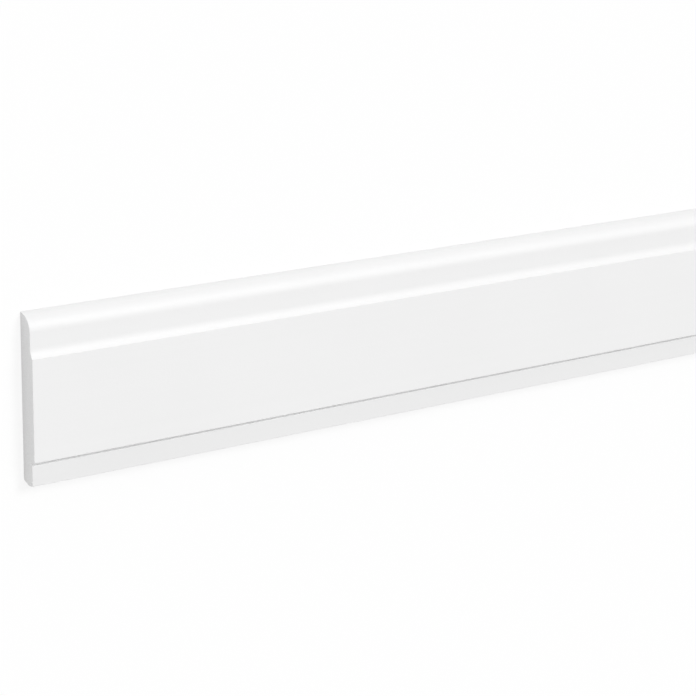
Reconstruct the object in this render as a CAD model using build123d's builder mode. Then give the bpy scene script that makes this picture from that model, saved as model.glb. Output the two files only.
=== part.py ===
from build123d import *
import os

os.makedirs("parts", exist_ok=True)

# one length of skirting moulding, lying on its back with the face up
# X runs along the length, Y from the foot to the top edge, Z out of the face

# overall
length = 2000.0
height = 120.0
thickness = 13.0

# fascia under the rounded top edge
fascia_thickness = 10.7
crown_height = 13.5
fascia_height = 10.5

# hollow between the fascia and the main face
cove_height = 7.4

# quirk under the main face and the set-back plinth band below it
plinth_height = 14.8
plinth_thickness = 10.2
quirk_width = 1.8
quirk_depth = 1.2

# bevel on the back of the foot
bevel_depth = 5.6
bevel_height = 3.4

# eased edges
face_arris = 0.6
quirk_arris = 0.3
quirk_root = 0.5
foot_arris = 0.3
back_arris = 0.4

# heights above the foot
crown_base = height - crown_height
cove_top = crown_base - fascia_height
face_top = cove_top - cove_height
quirk_top = plinth_height + quirk_width
quirk_floor = plinth_thickness - quirk_depth

# corners of the section as (height above the foot, distance from the back)
back_top = (height, 0)
fascia_top = (crown_base, fascia_thickness)
fascia_base = (cove_top, fascia_thickness)
face_edge = (face_top, thickness)
lip = (quirk_top, thickness)
root_top = (quirk_top, quirk_floor)
root_base = (plinth_height, quirk_floor)
plinth_edge = (plinth_height, plinth_thickness)
foot_front = (0, plinth_thickness)
foot_back = (0, bevel_depth)
bevel_top = (bevel_height, 0)

eased = (
    (face_edge, face_arris),
    (lip, face_arris),
    (root_top, quirk_root),
    (root_base, quirk_root),
    (plinth_edge, quirk_arris),
    (foot_front, foot_arris),
    (foot_back, back_arris),
    (bevel_top, back_arris),
)

# the section stands at the left end, with its own X up the moulding and its own Y out of the face
left_end = Plane(origin=(-length / 2, -height / 2, 0), x_dir=(0, 1, 0), z_dir=(1, 0, 0))

with BuildPart() as moulding:
    with BuildSketch(left_end) as section:
        with BuildLine():
            # rounded top edge, running into the fascia without a break
            TangentArc(fascia_top, back_top, tangent=(1, 0))
            Line(fascia_top, fascia_base)
            # hollow that leaves the fascia without a break and ends in a crisp edge
            TangentArc(fascia_base, face_edge, tangent=(-1, 0))
            Polyline(
                face_edge,
                lip,
                root_top,
                root_base,
                plinth_edge,
                foot_front,
                foot_back,
                bevel_top,
                back_top,
            )
        make_face()
        for corner, radius in eased:
            fillet(section.vertices().sort_by_distance(corner)[0], radius=radius)
    extrude(amount=length)

moulding.part.label = "moulding"
export_step(moulding.part, "parts/moulding.step")
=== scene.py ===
import math

import bpy
from mathutils import Matrix, Vector


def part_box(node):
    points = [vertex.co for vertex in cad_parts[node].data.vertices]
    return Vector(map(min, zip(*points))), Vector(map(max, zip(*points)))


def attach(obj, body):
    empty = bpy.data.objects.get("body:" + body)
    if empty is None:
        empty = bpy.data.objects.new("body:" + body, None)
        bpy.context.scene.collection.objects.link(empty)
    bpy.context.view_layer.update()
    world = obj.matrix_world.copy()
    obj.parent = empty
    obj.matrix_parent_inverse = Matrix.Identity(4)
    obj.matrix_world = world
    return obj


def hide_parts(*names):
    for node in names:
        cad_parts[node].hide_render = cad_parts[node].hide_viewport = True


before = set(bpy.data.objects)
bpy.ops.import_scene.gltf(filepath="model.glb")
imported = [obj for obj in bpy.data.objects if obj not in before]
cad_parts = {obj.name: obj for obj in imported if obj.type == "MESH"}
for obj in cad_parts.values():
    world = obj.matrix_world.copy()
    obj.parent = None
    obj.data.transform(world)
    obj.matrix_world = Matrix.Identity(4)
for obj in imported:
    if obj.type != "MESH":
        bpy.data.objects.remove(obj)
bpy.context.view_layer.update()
boardLow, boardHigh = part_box("moulding")
boardSize = boardHigh - boardLow
mm = 0.001  # the frame is in metres
print("frame loaded,", len(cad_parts), "node, board", [round(side, 4) for side in boardSize])


def addNode(tree, kind, **values):
    node = tree.nodes.new(kind)
    for name, value in values.items():
        setattr(node, name, value)
    return node


def setSocket(tree, socket, value):
    # a value is another node's output to link, or a constant
    if isinstance(value, bpy.types.NodeSocket):
        tree.links.new(value, socket)
    else:
        socket.default_value = value


def feed(tree, node, **inputs):
    # keys are the sockets' names in camelCase
    sockets = {}
    for socket in node.inputs:
        words = socket.name.split() or ["value"]
        key = words[0].lower() + "".join(word.capitalize() for word in words[1:])
        if socket.enabled and key not in sockets:
            sockets[key] = socket
    for key, value in inputs.items():
        setSocket(tree, sockets[key], value)
    return node


def maths(tree, operation, *values):
    node = addNode(tree, "ShaderNodeMath", operation=operation)
    for socket, value in zip(node.inputs, values):
        setSocket(tree, socket, value)
    return node.outputs[0]


def splitXYZ(tree, vector):
    return feed(tree, addNode(tree, "ShaderNodeSeparateXYZ"), vector=vector).outputs


# one extruded length: its section from the foot up, then how finely it is drawn
moulding = {
    "length": boardSize.x,
    "height": boardSize.y,
    "thickness": boardSize.z,
    "bevelDepth": 5.6 * mm,
    "bevelHeight": 3.4 * mm,
    "plinthThickness": 10.2 * mm,
    "plinthHeight": 14.8 * mm,
    "quirkWidth": 1.8 * mm,
    "quirkDepth": 1.2 * mm,
    "coveHeight": 7.4 * mm,
    "fasciaHeight": 10.5 * mm,
    "fasciaThickness": 10.7 * mm,
    "crownHeight": 13.5 * mm,
    "faceArris": 0.6 * mm,
    "quirkArris": 0.3 * mm,
    "quirkRoot": 0.5 * mm,
    "footArris": 0.3 * mm,
    "backArris": 0.4 * mm,
    "endEasing": 0.2 * mm,  # what the saw and a rub with paper leave on the cut edges
    "stations": 81,  # rings along the length
    "runSpacing": 3.0 * mm,  # points across the flats
    "runSupport": 0.3 * mm,  # first point beside an eased edge, so that the flats shade flat
    "crownSteps": 28,
    "coveSteps": 20,
    "arrisSteps": 6,
    "sharpAngle": 30.0,  # degrees past which an edge shades sharp
    "backNormal": -0.4,  # faces that look further down than this are the bare back
    "endNormal": 0.9,  # and those that look further along the length are the cut ends
}


def tangentArc(start, heading, end, steps):
    # points after start on the arc that leaves it along heading and reaches end
    chord = end - start
    side = heading.orthogonal()
    if side.dot(chord) < 0:
        side.negate()
    turn = 2 * heading.angle(chord)
    radius = chord.length / (2 * math.sin(turn / 2))
    angles = [turn * (i + 1) / steps for i in range(steps)]
    return [start + radius * (math.sin(a) * heading + (1 - math.cos(a)) * side) for a in angles]


def easedCorner(before, corner, after, radius, steps):
    back = (before - corner).normalized()
    ahead = (after - corner).normalized()
    reach = radius / math.tan(back.angle(ahead) / 2)
    start = corner + back * reach
    return [start] + tangentArc(start, -back, corner + ahead * reach, steps)


def sectionCorners(sizes):
    # (height above the foot, distance from the back) with an easing radius, up the back and down the face
    crownBase = sizes["height"] - sizes["crownHeight"]
    coveTop = crownBase - sizes["fasciaHeight"]
    faceTop = coveTop - sizes["coveHeight"]
    quirkTop = sizes["plinthHeight"] + sizes["quirkWidth"]
    quirkFloor = sizes["plinthThickness"] - sizes["quirkDepth"]
    backTop = Vector((sizes["height"], 0))
    fasciaTop = Vector((crownBase, sizes["fasciaThickness"]))
    fasciaBase = Vector((coveTop, sizes["fasciaThickness"]))
    faceEdge = Vector((faceTop, sizes["thickness"]))
    up, down = Vector((1, 0)), Vector((-1, 0))
    crown = tangentArc(fasciaTop, up, backTop, sizes["crownSteps"])
    cove = tangentArc(fasciaBase, down, faceEdge, sizes["coveSteps"])
    corners = [(Vector((sizes["bevelHeight"], 0)), sizes["backArris"])]
    corners += [(point, 0) for point in reversed(crown)]
    corners += [(point, 0) for point in [fasciaTop, fasciaBase] + cove[:-1]]
    corners += [(faceEdge, sizes["faceArris"])]
    corners += [(Vector((quirkTop, sizes["thickness"])), sizes["faceArris"])]
    corners += [(Vector((quirkTop, quirkFloor)), sizes["quirkRoot"])]
    corners += [(Vector((sizes["plinthHeight"], quirkFloor)), sizes["quirkRoot"])]
    corners += [(Vector((sizes["plinthHeight"], sizes["plinthThickness"])), sizes["quirkArris"])]
    corners += [(Vector((0, sizes["plinthThickness"])), sizes["footArris"])]
    corners += [(Vector((0, sizes["bevelDepth"])), sizes["backArris"])]
    return corners


def sectionOutline(sizes):
    corners = sectionCorners(sizes)
    eased = []
    for i, (corner, radius) in enumerate(corners):
        before, after = corners[i - 1][0], corners[(i + 1) % len(corners)][0]
        if radius:
            eased += easedCorner(before, corner, after, radius, sizes["arrisSteps"])
        else:
            eased += [corner]
    outline = []
    for i, start in enumerate(eased):
        run = eased[(i + 1) % len(eased)] - start
        outline += [start]
        inner = run.length - 2 * sizes["runSupport"]
        if inner > sizes["runSupport"]:
            count = max(1, round(inner / sizes["runSpacing"]))
            reaches = [sizes["runSupport"] + inner * k / count for k in range(count + 1)]
            outline += [start + run.normalized() * reach for reach in reaches]
    return outline


def sectionSource(sizes):
    # closed loop of edges, drawn half turned round as the sweep turns it back
    outline = sectionOutline(sizes)
    count = len(outline)
    mesh = bpy.data.meshes.new("mouldingSection")
    points = [(sizes["height"] / 2 - point.x, -point.y, 0) for point in outline]
    mesh.from_pydata(points, [(i, (i + 1) % count) for i in range(count)], [])
    outward = mesh.attributes.new("outward", "FLOAT_VECTOR", "POINT")
    for i in range(count):
        along = (outline[(i + 1) % count] - outline[i - 1]).normalized()
        outward.data[i].vector = (0, along.y, -along.x)
    source = bpy.data.objects.new("mouldingSection", mesh)
    bpy.context.scene.collection.objects.link(source)
    return source


def sweepTree(sizes):
    tree = bpy.data.node_groups.new("mouldingSweep", "GeometryNodeTree")
    sockets = tree.interface
    sockets.new_socket("Section", in_out="INPUT", socket_type="NodeSocketGeometry")
    for name in ("Length", "End Easing"):
        sockets.new_socket(name, in_out="INPUT", socket_type="NodeSocketFloat")
    sockets.new_socket("Stations", in_out="INPUT", socket_type="NodeSocketInt")
    for name in ("Face", "Back", "Ends"):
        sockets.new_socket(name, in_out="INPUT", socket_type="NodeSocketMaterial")
    sockets.new_socket("Moulding", in_out="OUTPUT", socket_type="NodeSocketGeometry")
    given = addNode(tree, "NodeGroupInput").outputs

    def alongX(x):
        return feed(tree, addNode(tree, "ShaderNodeCombineXYZ"), x=x).outputs[0]

    # straight path with its second and last but one stations pulled up to the ends
    half = maths(tree, "DIVIDE", given["Length"], 2)
    line = addNode(tree, "GeometryNodeCurvePrimitiveLine")
    feed(tree, line, start=alongX(maths(tree, "MULTIPLY", half, -1)), end=alongX(half))
    path = addNode(tree, "GeometryNodeResampleCurve", mode="COUNT")
    feed(tree, path, curve=line.outputs[0], count=given["Stations"])
    index = addNode(tree, "GeometryNodeInputIndex").outputs[0]
    lastStation = maths(tree, "SUBTRACT", given["Stations"], 1)
    fromEnd = maths(tree, "MINIMUM", index, maths(tree, "SUBTRACT", lastStation, index))
    place = addNode(tree, "GeometryNodeInputPosition").outputs[0]
    side = maths(tree, "SIGN", splitXYZ(tree, place)["X"])
    nearEnd = maths(tree, "MULTIPLY", side, maths(tree, "SUBTRACT", half, given["End Easing"]))
    pulled = addNode(tree, "GeometryNodeSetPosition")
    isSecond = maths(tree, "COMPARE", fromEnd, 1)
    feed(tree, pulled, geometry=path.outputs[0], selection=isSecond, position=alongX(nearEnd))
    marked = addNode(tree, "GeometryNodeStoreNamedAttribute", data_type="FLOAT", domain="POINT")
    feed(tree, marked, geometry=pulled.outputs[0], name="fromEnd", value=fromEnd)

    # section swept along it, with the end rings drawn in for the eased cut edges
    profile = feed(tree, addNode(tree, "GeometryNodeMeshToCurve"), mesh=given["Section"])
    sweep = addNode(tree, "GeometryNodeCurveToMesh")
    feed(tree, sweep, curve=marked.outputs[0], profileCurve=profile.outputs[0], fillCaps=True)
    outward = addNode(tree, "GeometryNodeInputNamedAttribute", data_type="FLOAT_VECTOR")
    feed(tree, outward, name="outward")
    ring = addNode(tree, "GeometryNodeInputNamedAttribute", data_type="FLOAT")
    feed(tree, ring, name="fromEnd")
    drawIn = addNode(tree, "ShaderNodeVectorMath", operation="SCALE")
    feed(tree, drawIn, vector=outward.outputs[0], scale=maths(tree, "MULTIPLY", given["End Easing"], -1))
    eased = addNode(tree, "GeometryNodeSetPosition")
    isEndRing = maths(tree, "COMPARE", ring.outputs[0], 0)
    feed(tree, eased, geometry=sweep.outputs[0], selection=isEndRing, offset=drawIn.outputs[0])

    # face all over, then the back and the cut ends by where their faces look
    normal = splitXYZ(tree, addNode(tree, "GeometryNodeInputNormal").outputs[0])
    isBack = maths(tree, "LESS_THAN", normal["Z"], sizes["backNormal"])
    isEnd = maths(tree, "GREATER_THAN", maths(tree, "ABSOLUTE", normal["X"]), sizes["endNormal"])
    cutEnds = addNode(tree, "GeometryNodeTriangulate", ngon_method="BEAUTY")
    feed(tree, cutEnds, mesh=eased.outputs[0], selection=isEnd)  # no slivers along the flats
    made = addNode(tree, "GeometryNodeRealizeInstances")
    feed(tree, made, geometry=cutEnds.outputs[0])
    for where, name in ((None, "Face"), (isBack, "Back"), (isEnd, "Ends")):
        coat = addNode(tree, "GeometryNodeSetMaterial")
        feed(tree, coat, geometry=made.outputs[0], material=given[name])
        if where:
            feed(tree, coat, selection=where)
        made = coat
    tree.links.new(made.outputs[0], addNode(tree, "NodeGroupOutput").inputs[0])
    return tree


def makeMoulding(sizes, face, back, ends):
    source = sectionSource(sizes)
    tree = sweepTree(sizes)
    sweep = source.modifiers.new("mouldingSweep", "NODES")
    sweep.node_group = tree
    values = {
        "Length": sizes["length"],
        "End Easing": sizes["endEasing"],
        "Stations": sizes["stations"],
        "Face": face,
        "Back": back,
        "Ends": ends,
    }
    for item in tree.interface.items_tree:
        if item.in_out == "INPUT" and item.name in values:
            sweep[item.identifier] = values[item.name]
    graph = bpy.context.evaluated_depsgraph_get()
    mesh = bpy.data.meshes.new_from_object(source.evaluated_get(graph))
    source.modifiers.clear()
    bpy.data.objects.remove(source)
    mesh.name = "mouldingLength"
    for name in ("fromEnd", "outward"):  # only the sweep needed them
        mesh.attributes.remove(mesh.attributes[name])
    mesh.shade_smooth()
    mesh.set_sharp_from_angle(angle=math.radians(sizes["sharpAngle"]))
    board = bpy.data.objects.new("mouldingLength", mesh)
    bpy.context.scene.collection.objects.link(board)
    return board


def newMaterial(name):
    material = bpy.data.materials.new(name)
    material.use_nodes = True
    tree = material.node_tree
    return material, tree, tree.nodes["Principled BSDF"]


def objectPlace(tree, stretch=(1, 1, 1), shift=(0, 0, 0)):
    mapping = addNode(tree, "ShaderNodeMapping")
    here = addNode(tree, "ShaderNodeTexCoord").outputs["Object"]
    return feed(tree, mapping, vector=here, scale=stretch, location=shift).outputs[0]


def noiseAt(tree, place, scale=1.0, detail=2.0):
    noise = addNode(tree, "ShaderNodeTexNoise")
    return feed(tree, noise, vector=place, scale=scale, detail=detail).outputs[0]


def spread(tree, factor, lowHigh, reach=(0.25, 0.75)):
    # reach of the factor becomes lowHigh; nearly all values of a noise lie in the usual reach
    node = feed(tree, addNode(tree, "ShaderNodeMapRange"), value=factor)
    feed(tree, node, fromMin=reach[0], fromMax=reach[1], toMin=lowHigh[0], toMax=lowHigh[1])
    return node.outputs[0]


def raised(tree, height, depth, under=None):
    bump = feed(tree, addNode(tree, "ShaderNodeBump"), height=height, distance=depth)
    if under:
        feed(tree, bump, normal=under)
    return bump.outputs[0]


# white satin skin of the moulded side
satinFace = {
    "grey": (0.865, 0.885),
    "plinthTone": 0.96,  # painted shade: the strip under the quirk, set back under the face, is darkened to stand in for the shade it lies in
    "mottleScale": 9.0,  # cloudy patches, per metre
    "mottleShare": 0.6,  # the rest of the tone is in the streaks
    "streakStretch": (0.9, 120.0, 120.0),  # long streaks left by the die
    "roughness": (0.42, 0.52),
    "peelScale": 900.0,  # fine orange peel, about a millimetre
    "peelHeight": 0.05 * mm,
    "dieLineStretch": (1.5, 900.0, 900.0),
    "dieLineHeight": 0.025 * mm,
}


def makeSatinFace(look, sizes):
    material, tree, shader = newMaterial("satinFace")
    patches = noiseAt(tree, objectPlace(tree), look["mottleScale"])
    streaks = noiseAt(tree, objectPlace(tree, look["streakStretch"]))
    streakPart = maths(tree, "MULTIPLY", streaks, 1 - look["mottleShare"])
    tone = maths(tree, "MULTIPLY_ADD", patches, look["mottleShare"], streakPart)
    # the painted shade starts inside the quirk, where its edge is hidden
    quirkFoot = sizes["plinthHeight"] - sizes["height"] / 2
    quirkSpan = (quirkFoot, quirkFoot + sizes["quirkWidth"])
    plinthShade = spread(tree, splitXYZ(tree, objectPlace(tree))["Y"], (look["plinthTone"], 1), quirkSpan)
    peel = noiseAt(tree, objectPlace(tree), look["peelScale"])
    dieLines = noiseAt(tree, objectPlace(tree, look["dieLineStretch"]))
    relief = raised(tree, dieLines, look["dieLineHeight"], raised(tree, peel, look["peelHeight"]))
    feed(tree, shader, baseColor=maths(tree, "MULTIPLY", spread(tree, tone, look["grey"]), plinthShade),
         roughness=spread(tree, peel, look["roughness"]), normal=relief)
    return material


# back and foot bevel, bare as they leave the die
plainBack = {
    "grey": (0.80, 0.86),
    "streakStretch": (3.0, 260.0, 260.0),
    "roughness": (0.52, 0.68),
    "ribHeight": 0.03 * mm,
}


def makePlainBack(look):
    material, tree, shader = newMaterial("plainBack")
    streaks = noiseAt(tree, objectPlace(tree, look["streakStretch"]))
    feed(tree, shader, baseColor=spread(tree, streaks, look["grey"]),
         roughness=spread(tree, streaks, look["roughness"]),
         normal=raised(tree, streaks, look["ribHeight"]))
    return material


# sawn foam of the two ends
sawnEnd = {
    "grey": (0.80, 0.87),
    "cellScale": 2600.0,  # closed cells of about 0.4 mm
    "cellHeight": 0.03 * mm,
    "bladeCentre": (0.0, -0.11, -0.05),  # past the foot and below the back
    "bladePitch": 1.7 * mm,  # from one arc to the next
    "bladeHeight": 0.035 * mm,
    "bladeWander": 1.5,  # how much the arcs waver
    "roughness": (0.6, 0.78),
}


def makeSawnEnd(look):
    material, tree, shader = newMaterial("sawnEnd")
    cells = addNode(tree, "ShaderNodeTexVoronoi")
    feed(tree, cells, vector=objectPlace(tree), scale=look["cellScale"])
    walls = cells.outputs["Distance"]
    blade = addNode(tree, "ShaderNodeTexWave", wave_type="RINGS", rings_direction="X")
    waveTurn = 20.0  # radians that the wave texture turns in a metre at scale 1
    feed(tree, blade, vector=objectPlace(tree, shift=[-side for side in look["bladeCentre"]]),
         distortion=look["bladeWander"], scale=2 * math.pi / (waveTurn * look["bladePitch"]))
    arcs = blade.outputs["Fac"]
    relief = raised(tree, arcs, look["bladeHeight"], raised(tree, walls, look["cellHeight"]))
    feed(tree, shader, baseColor=spread(tree, walls, look["grey"]),
         roughness=spread(tree, arcs, look["roughness"]), normal=relief)
    return material


skins = makeSatinFace(satinFace, moulding), makePlainBack(plainBack), makeSawnEnd(sawnEnd)
print("finishes made,", ", ".join(skin.name for skin in skins))
board = makeMoulding(moulding, *skins)
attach(board, "root")
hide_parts("moulding")
print("moulding swept,", len(board.data.polygons), "faces")

# pale floor that reads white to the camera and keeps a soft shadow
floorLook = {
    "size": 200.0,  # its edge then lies along the horizon
    "grey": 0.72,  # as it passes light on
    "seenGrey": 0.97,  # as the camera sees it
    "shadowShare": 0.2,  # how much of the shadow shows
}


def seenDirectly(tree):
    # 1 for rays that show the background itself, 0 for those that only carry light
    rays = addNode(tree, "ShaderNodeLightPath").outputs
    mirrored = maths(tree, "MAXIMUM", rays["Is Glossy Ray"], rays["Is Transmission Ray"])
    return maths(tree, "MAXIMUM", rays["Is Camera Ray"], mirrored)


def makeFloor(look):
    half = look["size"] / 2
    mesh = bpy.data.meshes.new("floor")
    spots = [(-half, -half, 0), (half, -half, 0), (half, half, 0), (-half, half, 0)]
    mesh.from_pydata(spots, [], [(0, 1, 2, 3)])
    material, tree, shader = newMaterial("paleFloor")
    seen = seenDirectly(tree)
    grey = spread(tree, seen, (look["grey"], look["seenGrey"]), (0, 1))
    feed(tree, shader, baseColor=grey, roughness=1.0, specularIorLevel=0.0)
    white = feed(tree, addNode(tree, "ShaderNodeEmission"), strength=1.0)
    mix = addNode(tree, "ShaderNodeMixShader")
    mixed = maths(tree, "MULTIPLY", seen, 1 - look["shadowShare"]), shader.outputs[0], white.outputs[0]
    for socket, value in zip(mix.inputs, mixed):
        setSocket(tree, socket, value)
    tree.links.new(mix.outputs[0], tree.nodes["Material Output"].inputs["Surface"])
    mesh.materials.append(material)
    floor = bpy.data.objects.new("floor", mesh)
    bpy.context.scene.collection.objects.link(floor)


# two broad far lamps, as even as large softboxes, and the same fill from all round
# a level is the brightness on a white card that faces the lamp, a softness the degrees that it spans
studio = {
    "key": {"from": (0.45, 0.42, 0.79), "level": 0.455, "softness": 28.0},
    "side": {"from": (-0.93, 0.15, 0.33), "level": 0.175, "softness": 90.0},
    "fill": 0.578,
    "horizon": (0.035, 0.06),  # rise over which the white horizon fades into the fill
}


def makeLamp(name, look):
    lamp = bpy.data.lights.new(name, "SUN")
    lamp.energy = look["level"] * math.pi
    lamp.angle = math.radians(look["softness"])
    holder = bpy.data.objects.new(name, lamp)
    towards = Vector(look["from"])
    holder.location = towards
    holder.rotation_euler = towards.to_track_quat("Z", "Y").to_euler()
    bpy.context.scene.collection.objects.link(holder)


def makeStudio(look):
    for name in ("key", "side"):
        makeLamp(name, look[name])
    world = bpy.data.worlds.new("studioFill")
    bpy.context.scene.world = world
    world.use_nodes = True
    tree = world.node_tree
    # white along the horizon, where the floor ends, and the even fill above it
    rise = splitXYZ(tree, addNode(tree, "ShaderNodeTexCoord").outputs["Generated"])["Z"]
    level = spread(tree, rise, (1, look["fill"]), look["horizon"])
    feed(tree, tree.nodes["Background"], color=(1, 1, 1, 1), strength=level)


# the photograph's view: the board stands upright there, so picture up is the board's +Y
photoView = {
    "imagePixels": 696,
    "focalPixels": 2875.0,
    "sensor": 36.0,
    "yaw": 48.27,  # between the board's length and the view
    "pitch": 11.56,  # down on the upright board
    "cornerPixel": (19.94, 311.45),  # back corner of the near end, at the top edge
    "cornerDepth": 1.935,  # metres ahead of the camera
    "clip": (0.05, 400.0),
}


def makeCamera(look):
    yaw, pitch = math.radians(look["yaw"]), math.radians(look["pitch"])
    level = math.cos(pitch)
    ahead = Vector((level * math.cos(yaw), -math.sin(pitch), -level * math.sin(yaw)))
    right = ahead.cross(Vector((0, 1, 0))).normalized()
    above = right.cross(ahead)
    middle = look["imagePixels"] / 2
    perPixel = look["cornerDepth"] / look["focalPixels"]
    across, down = [(pixel - middle) * perPixel for pixel in look["cornerPixel"]]
    corner = Vector((boardLow.x, boardHigh.y, boardLow.z))
    spot = corner - ahead * look["cornerDepth"] - right * across + above * down
    data = bpy.data.cameras.new("photoCamera")
    data.sensor_width = look["sensor"]
    data.lens = look["sensor"] * look["focalPixels"] / look["imagePixels"]
    data.clip_start, data.clip_end = look["clip"]
    camera = bpy.data.objects.new("photoCamera", data)
    turn = Matrix((right, above, -ahead)).transposed().to_4x4()
    camera.matrix_world = Matrix.Translation(spot) @ turn
    bpy.context.scene.collection.objects.link(camera)
    bpy.context.scene.camera = camera


makeFloor(floorLook)
makeStudio(studio)
makeCamera(photoView)
bpy.context.scene.view_settings.view_transform = "Standard"
print("floor, light and camera in place")
